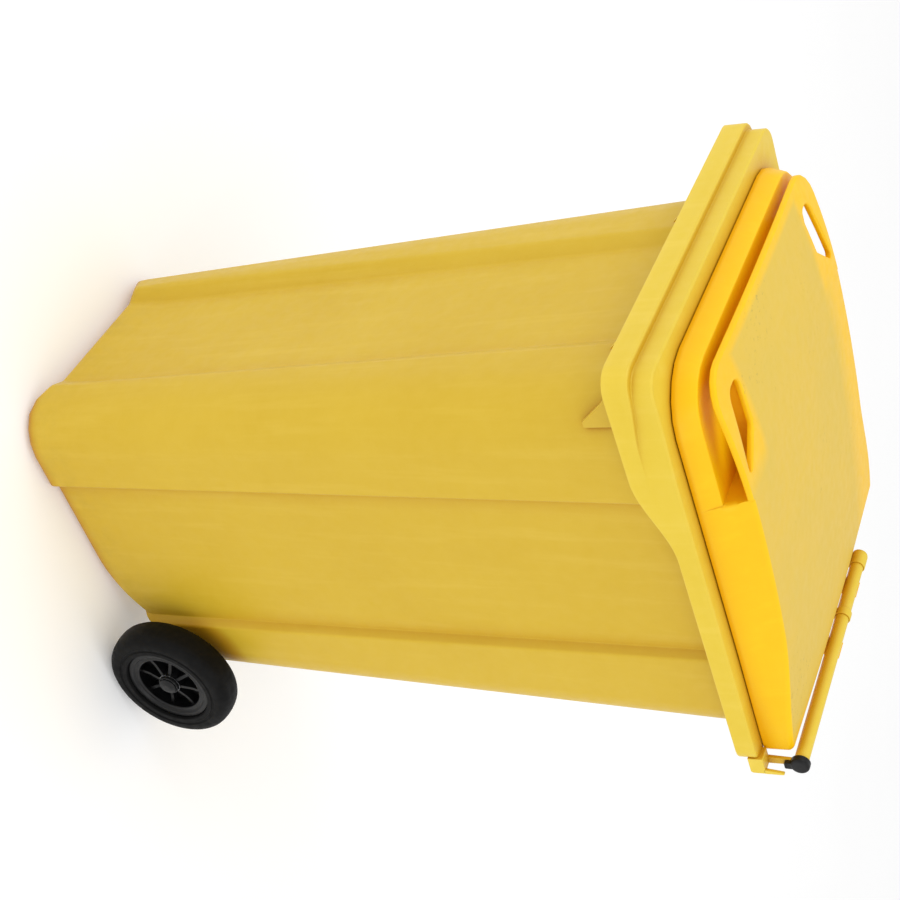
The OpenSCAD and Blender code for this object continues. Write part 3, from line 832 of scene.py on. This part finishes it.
def build_hinge_supports():
    ring_r = 0.0115
    web_low_z = skirt_rear_z + 0.004
    bar_rings = (
        ("bar_ring_centre", -0.0065, 0.0065), ("bar_ring_left", bar_left_x, bar_left_x + 0.024)
    )
    for name, x0, x1 in bar_rings:
        work = bmesh.new()
        lathe(work, ring_profile(x0, x1, bar_r + 0.0002, ring_r), bar_y, bar_z, SMALL_TURN)
        prism(work, [
            (collar_rear_y - 0.002, web_low_z, 0.001), (collar_rear_y + 0.008, web_low_z, 0.004),
            (collar_rear_y + 0.008, bar_z - 0.008, 0.003),
            (collar_rear_y + 0.0022, bar_z - 0.008, 0.001),
            (collar_rear_y + 0.0022, collar_z + 0.001, 0.0005),
            (collar_rear_y - 0.002, collar_z - 0.002, 0.0005)
        ], "X", x0 + 0.001, x1 - 0.001, 0.001)
        finish_mesh(name, work, "container", lit_rim_yellow)
    block_rear_y = collar_rear_y + 0.0185
    block_top_z = collar_z + 0.006
    for side, word in SIDES:
        work = bmesh.new()
        lo, hi = sorted((side * lug_x, side * (collar_half - 0.002)))
        prism(work, [
            (collar_rear_y - 0.008, collar_z - 0.014, 0.001), (block_rear_y, collar_z - 0.014, 0.004),
            (block_rear_y, block_top_z, 0.003), (collar_rear_y - 0.008, block_top_z, 0.001)
        ], "X", lo, hi, 0.002)
        finish_mesh("corner_block_" + word, work, "container", lit_rim_yellow)
    work = bmesh.new()
    prism(work, [
        (block_rear_y - 0.007, block_top_z - 0.002, 0.0005), (block_rear_y, block_top_z - 0.002, 0.0005),
        (block_rear_y, block_top_z + 0.024, 0.0015), (block_rear_y - 0.003, block_top_z + 0.024, 0.0012)
    ], "X", collar_half - 0.0065, collar_half - 0.002, 0.001)
    lathe(work, ring_profile(lug_x, lug_x + lug_t, bar_r + 0.0002, ring_r), bar_y, bar_z, SMALL_TURN)
    prism(work, [
        (bar_y - 0.007, block_top_z - 0.002, 0.0005), (bar_y + 0.004, block_top_z - 0.002, 0.0005),
        (bar_y + 0.004, bar_z - 0.009, 0.0005), (bar_y - 0.005, bar_z - 0.009, 0.0005)
    ], "X", lug_x, lug_x + lug_t, 0.001)
    finish_mesh("end_lug", work, "container", lit_rim_yellow)


def build_bar():
    bar_end = lug_x + lug_t
    work = bmesh.new()
    tube = ring_profile(bar_left_x, bar_end, bar_bore_r, bar_r, 0.0012)
    lathe(work, tube, bar_y, bar_z, SMALL_TURN)
    bar = finish_mesh("bar_tube", work, "container", lit_rim_yellow)
    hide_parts("hinge_bar")
    work = bmesh.new()
    head_r = 0.0128
    head_end = bar_end + 0.0075
    lathe(work, profile_points([
        (CORE_R, bar_end - 0.014, 0), (bar_bore_r - 0.0001, bar_end - 0.014, 0.001),
        (bar_bore_r - 0.0001, bar_end + 0.0005, 0.0003), (ring_gap_r, bar_end + 0.0005, 0.0003),
        (ring_gap_r, bar_end - 0.0030, 0.0003), (head_r, bar_end - 0.0030, 0.0008),
        (head_r, head_end, 0.004), (CORE_R, head_end, 0)
    ]), bar_y, bar_z, SMALL_TURN)
    prism(work, [
        (bar_y - 0.005, bar_z - 0.020, 0.002), (bar_y + 0.005, bar_z - 0.020, 0.002),
        (bar_y + 0.006, bar_z - 0.004, 0.0005), (bar_y - 0.006, bar_z - 0.004, 0.0005)
    ], "X", bar_end + 0.0008, head_end - 0.001, 0.001)
    cap = finish_mesh("bar_end_cap", work, "container", black)
    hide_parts("bar_cap")
    work = bmesh.new()
    plug_r = 0.0108
    plug_x = bar_left_x - (bar_low.x - plug_low.x)
    plug_end_x = bar_left_x + (plug_high.x - bar_low.x)
    lathe(work, profile_points([
        (CORE_R, plug_x, 0), (plug_r, plug_x, 0.0014), (plug_r, bar_left_x, 0.0006),
        (bar_bore_r - 0.0001, bar_left_x, 0.0003), (bar_bore_r - 0.0001, plug_end_x, 0.001),
        (CORE_R, plug_end_x, 0)
    ]), bar_y, bar_z, SMALL_TURN)
    plug = finish_mesh("bar_end_plug", work, "container", lit_rim_yellow)
    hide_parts("bar_plug")


# ---- Lid ---------------------------------------------------------------

# Stations down each side as (y, share of the recess): the recess ends in a crisp wall
end_wall = [
    (groove_rear_y - 0.012, 1), (groove_rear_y - 0.004, 1), (groove_rear_y, 0.97),
    (groove_rear_y + 0.0002, 0.10), (groove_rear_y + 0.0012, 0.03), (groove_rear_y + 0.0035, 0)
]
lid_sides = (
    [(y, 1) for y in steps(front_y + 0.118, groove_rear_y - 0.020, 9)] + end_wall
    + [(y, 0) for y in steps(groove_rear_y + 0.012, lid_rear_y - 0.016, 28)]
)


def dome(x, y):
    """Height of the lid's domed top."""
    s = y - dome_mid_y
    run, fall = top_rear_y - dome_mid_y, dome_rear
    if s < 0:
        run, fall = dome_mid_y - top_front_y, dome_front
    return crown_z - fall * (s / run) ** 2 - dome_side * (x / top_half) ** 2


def lid_flat(half, yf, yr, rf, rr, spread=0.0):
    """Outline with the lid's stations down its sides, which may spread towards the rear."""
    def reach(y):
        return half + spread * smooth((y - 0.10) / (top_rear_y - 0.13))

    side = [(reach(y), y, 0) for y, share in lid_sides]
    across = steps(0.02, 0.112, ACROSS)
    return outline(both_halves(
        [(x, yf, 0) for x in across] + [(half, yf, rf)] + side + [(reach(yr), yr, rr)]
        + [(x, yr, 0) for x in reversed(across)]
    ))


def lid_shares(inside):
    """Share of the recess at each point of a lid outline. Inside it runs a wall's thickness further."""
    sides = [share for y, share in lid_sides]
    if inside:
        sides = [1 if y < groove_rear_y + lid_t else 0 for y, share in lid_sides]
    half = [1] * (ACROSS + ARC_STEPS + 1) + sides + [0] * (ARC_STEPS + 1 + ACROSS)
    return half + half[::-1]


def skirt_line(e):
    return lid_flat(lid_half - e, lid_front_y + e, lid_rear_y - e, 0.074 - e,
                    lid_corner_r - 0.7 * e, skirt_spread)


def top_line(e):
    return lid_flat(top_half - e, top_front_y + e, top_rear_y - e, 0.046 - e,
                    lid_corner_r - 0.4 * e, top_spread)


def groove_line(e):
    return lid_flat(groove_half + e, groove_front_y - e, top_rear_y - 0.060, 0.040 + e, 0.022)


def slope_line(share, e):
    """Outline on the lid's sloping side, from its skirt (0) to its top (1)."""
    low, high = skirt_line(e), top_line(e)
    return [lerp(a, b, share) for a, b in zip(low, high)]


def slope_ring(share, e):
    """Ring on the sloping side, inside it by e."""
    return ring(slope_line(share, e), lambda x, y: lerp(lid_band_z, dome(x, y) - 0.007, share))


def blended(recess, plain, inside=False):
    """Takes the recess ring's points where the recess runs, and the plain ring's elsewhere."""
    return [lerp(b, a, share) for a, b, share in zip(recess, plain, lid_shares(inside))]


def shrunk(flat, k):
    """An outline drawn in to a share k of its size about the middle of the dome."""
    return [Vector((p.x * k, dome_mid_y + (p.y - dome_mid_y) * k)) for p in flat]


def lid_outside():
    """Rings from the skirt's lower edge to the middle of the top."""
    soft = 0.0010
    rise = (ledge_z - lid_band_z) / (crown_z - 0.022 - lid_band_z)

    def under(rise_by):
        """Height of the lip's underside, raised a little."""
        return lambda x, y: dome(x, y) - lip_t + rise_by

    rings = [
        ring(skirt_line(soft), lid_low_z), ring(skirt_line(soft * 0.3), lid_low_z + soft * 0.3),
        ring(skirt_line(0), lid_low_z + soft), ring(skirt_line(0), lid_band_z - 0.0015),
        slope_ring(0.0, 0.0002), slope_ring(0.05, 0.0)
    ]
    # Recess as (outline, height, share of the plain slope that takes its place further back)
    recess = (
        (slope_line(rise * 0.6, 0.0), lerp(lid_band_z, ledge_z, 0.6), 0.20),
        (slope_line(rise * 0.9, 0.0), ledge_z - 0.0022, 0.30),
        (slope_line(rise * 0.9, 0.0010), ledge_z - 0.0007, 0.36),
        (slope_line(rise * 0.9, 0.0026), ledge_z, 0.42),
        (groove_line(0.012), ledge_z, 0.48),
        (groove_line(0.004), ledge_z + 0.0012, 0.52),
        (groove_line(0.001), ledge_z + 0.004, 0.56),
        (groove_line(0), ledge_z + 0.007, 0.60),
        (groove_line(0), under(-0.0035), 0.64),
        (groove_line(0.001), under(-0.0010), 0.68),
        (groove_line(0.0035), under(0), 0.72),
        (top_line(0.0030), under(0), 0.78),
        (top_line(0.0012), under(0.0002), 0.82),
        (top_line(0.0003), under(0.0010), 0.86),
        (top_line(0), under(0.0025), 0.93)
    )
    rings += [blended(ring(flat, z), slope_ring(share, 0)) for flat, z, share in recess]
    for a in (0, 25, 50, 70, 90):
        turn = math.radians(a)
        lip = ring(top_line(0.003 * (1 - math.cos(turn))),
                   lambda x, y: dome(x, y) - 0.003 * (1 - math.sin(turn)))
        side = ring(top_line(0.006 * (1 - math.cos(turn)) ** 0.8),
                    lambda x, y: dome(x, y) - 0.006 * (1 - math.sin(turn)))
        rings.append(blended(lip, side))
    return rings + [ring(shrunk(top_line(0.009), k), dome) for k in steps(1.0, 0.06, 12)]


def lid_inside():
    """Rings from the skirt's lower edge up to the middle of the underside."""
    rise = 0.52
    rings = [
        ring(skirt_line(lid_t), lid_low_z), ring(skirt_line(lid_t), lid_band_z),
        blended(ring(slope_line(rise * 0.9, lid_t), ledge_z - lid_t - 0.001),
                slope_ring(0.36, lid_t), True),
        blended(ring(groove_line(0.004), ledge_z - lid_t), slope_ring(0.55, lid_t), True),
        blended(ring(groove_line(-lid_t), ledge_z - lid_t + 0.003), slope_ring(0.70, lid_t), True),
        blended(ring(groove_line(-lid_t), lambda x, y: dome(x, y) - lid_t - 0.004),
                slope_ring(0.90, lid_t), True)
    ]
    inner_top = [Vector((p.x, p.y, dome(p.x, p.y) - lid_t)) for p in top_line(lid_t + 0.006)]
    inner_lip = ring(groove_line(-lid_t - 0.004), lambda x, y: dome(x, y) - lid_t)
    rings.append(blended(inner_lip, inner_top, True))
    for k in steps(0.9, 0.06, 8):
        mixed = [lerp(p.to_2d(), q, 1 - k) for p, q in zip(rings[6], top_line(lid_t))]
        rings.append(ring(shrunk(mixed, k), lambda x, y: dome(x, y) - lid_t))
    return rings


def slot_corners(e):
    """Hand slot: rounded in front, with a slanting rear end. Moved outwards by e."""
    front = front_y + 0.086 - e
    return [
        (groove_half + 0.004 - e, front, 0.012 + e), (top_half - 0.037 + e, front, 0.016 + e),
        (top_half - 0.010 + e, front_y + 0.195 + 1.8 * e, 0.005 + e),
        (groove_half + 0.013 - e, front_y + 0.148 + 1.4 * e, 0.012 + e)
    ]


def slot_tool(side):
    """Cutter for one hand slot, flared where it leaves the lip."""
    flares = ((-lip_t - 0.004, 0.0055), (-lip_t, 0.0015), (-lip_t + 0.0015, 0.0), (-0.0028, 0.0),
              (-0.0017, 0.0003), (-0.0007, 0.0012), (0.0, 0.0026), (0.004, 0.0066))
    rings = []
    for drop, e in flares:
        flat = [Vector((side * p.x, p.y)) for p in outline(slot_corners(e))]
        rings.append([Vector((p.x, p.y, dome(p.x, p.y) + drop)) for p in flat])
    work = bmesh.new()
    made = add_rings(work, rings)
    bmesh.ops.poke(work, faces=[work.faces.new(made[0]), work.faces.new(made[-1])])
    return tool_from(work)


def build_lid():
    work = bmesh.new()
    rings = list(reversed(lid_outside())) + lid_inside()
    made = add_rings(work, rings)
    work.faces.new(made[0])
    work.faces.new(made[-1])
    lid = finish_mesh("lid_shell", work, "lid", lid_yellow, LID_SHARP)
    for side in (-1, 1):
        cut(lid, slot_tool(side))
    shade(lid, LID_SHARP)
    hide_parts("lid")
    for side, word in SIDES:
        lo, hi = side * knuckle_x - knuckle_half, side * knuckle_x + knuckle_half
        work = bmesh.new()
        hook(work, ring_profile(lo, hi, bar_r + 0.0003, 0.0116, 0.0006), 243, 405)
        prism(work, [
            (lid_rear_y - 0.002, bar_z - 0.034, 0.0005), (lid_rear_y + 0.001, bar_z - 0.034, 0.0005),
            (bar_y + 0.001, bar_z - 0.0108, 0.0005), (bar_y - 0.004, bar_z - 0.0102, 0.0005),
            (lid_rear_y - 0.002, bar_z - 0.024, 0.0005)
        ], "X", lo, hi, 0.0006)
        finish_mesh("lid_knuckle_" + word, work, "lid", lid_yellow)
        work = bmesh.new()
        for x0, y0 in ((side * 0.110, lid_front_y + 0.012), (side * 0.150, lid_rear_y - lid_t - 0.006)):
            prism(work, [
                (x0 - 0.008, y0, 0.001), (x0 + 0.008, y0, 0.001),
                (x0 + 0.008, y0 + lid_t, 0.001), (x0 - 0.008, y0 + lid_t, 0.001)
            ], "Z", lid_low.z, lid_band_z, 0.0006)
        finish_mesh("lid_feet_" + word, work, "lid", lid_yellow)


# ---- Wheels ------------------------------------------------------------

def tyre_profile(side):
    """Rounded tyre with a shallow groove in its outer face."""
    corners = [
        (bead_r, -tyre_half + 0.004, 0.002), (bead_r + 0.004, -tyre_half, 0.003),
        (wheel_r - 0.004, -tyre_half, 0.016), (wheel_r, 0.0, 0.060),
        (wheel_r - 0.004, tyre_half, 0.016), (bead_r + 0.013, tyre_half, 0.0012),
        (bead_r + 0.012, tyre_half - 0.0014, 0.0006), (bead_r + 0.009, tyre_half - 0.0014, 0.0006),
        (bead_r + 0.008, tyre_half, 0.0012),
        (bead_r + 0.001, tyre_half, 0.002), (bead_r, tyre_half - 0.004, 0.001)
    ]
    return [(r, side * (wheel_x + x)) for r, x in profile_points(corners)]


def build_wheel(side, word):
    body = "wheel_" + word
    work = bmesh.new()
    lathe(work, tyre_profile(side), axle_y, axle_z)
    tyre = finish_mesh("tyre_tread_" + word, work, body, rubber)
    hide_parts("tyre_" + word)
    work = bmesh.new()
    band_half = tyre_half - 0.005
    lathe(work, [(r, side * x) for r, x in profile_points([
        (rim_band_r, wheel_x - band_half, 0.001), (bead_r - 0.0002, wheel_x - band_half, 0.0015),
        (bead_r - 0.0002, wheel_x + band_half, 0.0015), (rim_band_r + 0.009, wheel_x + band_half, 0.0015),
        (rim_band_r + 0.006, wheel_x + band_half - 0.003, 0.0015),
        (rim_band_r - 0.001, wheel_x + band_half - 0.002, 0.0020),
        (rim_band_r, wheel_x + band_half - 0.012, 0.004)
    ])], axle_y, axle_z)
    web_x = wheel_x - 0.008
    hub_end_x = 0.268
    lathe(work, [(r, side * x) for r, x in profile_points([
        (0.0132, hub_low.x, 0.0005), (0.020, hub_low.x, 0.001), (0.020, web_x, 0.002),
        (rim_band_r + 0.001, web_x, 0.0005), (rim_band_r + 0.001, web_x + 0.005, 0.0005),
        (hub_r + 0.004, web_x + 0.005, 0.003), (hub_r, hub_high.x - 0.002, 0.0015),
        (0.0142, hub_high.x - 0.002, 0.0005), (0.0142, hub_end_x, 0.0004), (0.0132, hub_end_x, 0.0004)
    ])], axle_y, axle_z)
    for k in range(spokes):
        add_spoke(work, side, math.radians(360 * (k + 0.5) / spokes), web_x)
    rim = finish_mesh("rim_" + word, work, body, black)
    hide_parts("wheel_rim_" + word)


def add_spoke(work, side, angle, web_x):
    """Upright rib from the hub to the band, deeper at the hub."""
    before = set(work.verts)
    prism(work, [
        (hub_r - 0.001, web_x + 0.002, 0.0005), (rim_band_r + 0.0015, web_x + 0.002, 0.0005),
        (rim_band_r + 0.0015, wheel_x + 0.010, 0.0005), (0.036, wheel_x + 0.010, 0.010),
        (hub_r - 0.001, hub_high.x - 0.008, 0.0005)
    ], "Z", -0.0026, 0.0026, 0.0009)
    fresh = [v for v in work.verts if v not in before]
    for v in fresh:
        r, x, w = v.co
        v.co = Vector((
            side * x, axle_y + r * math.cos(angle) - w * math.sin(angle),
            axle_z + r * math.sin(angle) + w * math.cos(angle)
        ))


def build_hub_cap(side, word):
    low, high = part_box("hub_cap_" + word)
    body = "wheel_" + word
    cap_r = hub_r - 0.002
    inner, outer = (low.x, high.x) if side > 0 else (high.x, low.x)
    work = bmesh.new()
    lathe(work, profile_points([
        (CORE_R, outer, 0), (cap_r * 0.45, outer, 0.010), (cap_r, lerp(outer, inner, 0.42), 0.0020),
        (cap_r, lerp(outer, inner, 0.72), 0.0006), (cap_r - 0.004, lerp(outer, inner, 0.76), 0.0006),
        (cap_r - 0.004, inner, 0.0008), (CORE_R, inner, 0)
    ]), axle_y, axle_z, SMALL_TURN)
    cap = finish_mesh("hub_cap_dome_" + word, work, body, black)
    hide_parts("hub_cap_" + word)


def dress_cad_nodes():
    """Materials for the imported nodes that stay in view."""
    finishes = {
        "axle": zinc, "axle_clip_left": zinc, "axle_clip_right": zinc,
        "spacer_washer_left": nylon, "spacer_washer_right": nylon,
        "hub_sleeve_left": nylon, "hub_sleeve_right": nylon,
        "transponder": black, "chip_nest_plug": black
    }
    for name, material in finishes.items():
        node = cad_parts[name]
        for place in node.material_slots:
            place.material = material


# ---- Set ---------------------------------------------------------------

def area_light(name, place, aim, size, power):
    light = bpy.data.lights.new(name, "AREA")
    light.shape = "SQUARE"
    light.size = size
    light.energy = power
    holder = bpy.data.objects.new(name, light)
    bpy.context.scene.collection.objects.link(holder)
    holder.location = place
    holder.rotation_euler = (Vector(aim) - Vector(place)).to_track_quat("-Z", "Y").to_euler()


def build_set():
    scene = bpy.context.scene
    world = bpy.data.worlds.new("studio")
    world.use_nodes = True
    world.node_tree.nodes["Background"].inputs["Color"].default_value = (1, 1, 1, 1)
    world.node_tree.nodes["Background"].inputs["Strength"].default_value = 0.85
    scene.world = world
    area_light("key", (-0.6, -3.4, 3.4), (0, 0, 0.55), 2.4, 42)
    area_light("side", (3.6, 0.4, 2.4), (0, 0, 0.5), 2.4, 26)
    area_light("top", (0.3, 0.6, 4.2), (0, 0, 0.8), 2.6, 12)
    work = bmesh.new()
    bmesh.ops.create_grid(work, x_segments=4, y_segments=4, size=14)
    mesh = bpy.data.meshes.new("floor")
    work.to_mesh(mesh)
    work.free()
    floor = bpy.data.objects.new("floor", mesh)
    scene.collection.objects.link(floor)
    finish = Finish("pale_floor", 0.9, 0.1)
    tone = finish.mix(finish.noise(1.5, 2), (0.90, 0.90, 0.90, 1), (0.93, 0.93, 0.93, 1))
    finish.shader.inputs["Emission Color"].default_value = (1, 1, 1, 1)
    finish.shader.inputs["Emission Strength"].default_value = 0.16
    mesh.materials.append(finish.paint(tone))
    floor.location.z = cad_box[0].z
    scene.view_settings.view_transform = "Standard"
    scene.view_settings.look = "None"


def build_camera():
    """The view from the front right, turned on its side."""
    azimuth, elevation, roll = (math.radians(a) for a in (51.308, 27.821, 90 - 0.531))
    data = bpy.data.cameras.new("camera")
    data.sensor_width = 36
    data.lens = 67.59
    camera = bpy.data.objects.new("camera", data)
    bpy.context.scene.collection.objects.link(camera)
    camera.location = (1.6628, -1.3353, 1.6766)
    turn = (Matrix.Rotation(azimuth, 3, "Z") @ Matrix.Rotation(math.pi / 2 - elevation, 3, "X")
            @ Matrix.Rotation(roll, 3, "Z"))
    camera.rotation_euler = turn.to_euler()
    bpy.context.scene.camera = camera


build_camera()
build_tub()
build_collar()
build_webs()
build_nest()
build_underside()
build_hinge_supports()
build_bar()
build_lid()
for wheel_side, wheel_word in SIDES:
    build_wheel(wheel_side, wheel_word)
    build_hub_cap(wheel_side, wheel_word)
dress_cad_nodes()
build_set()
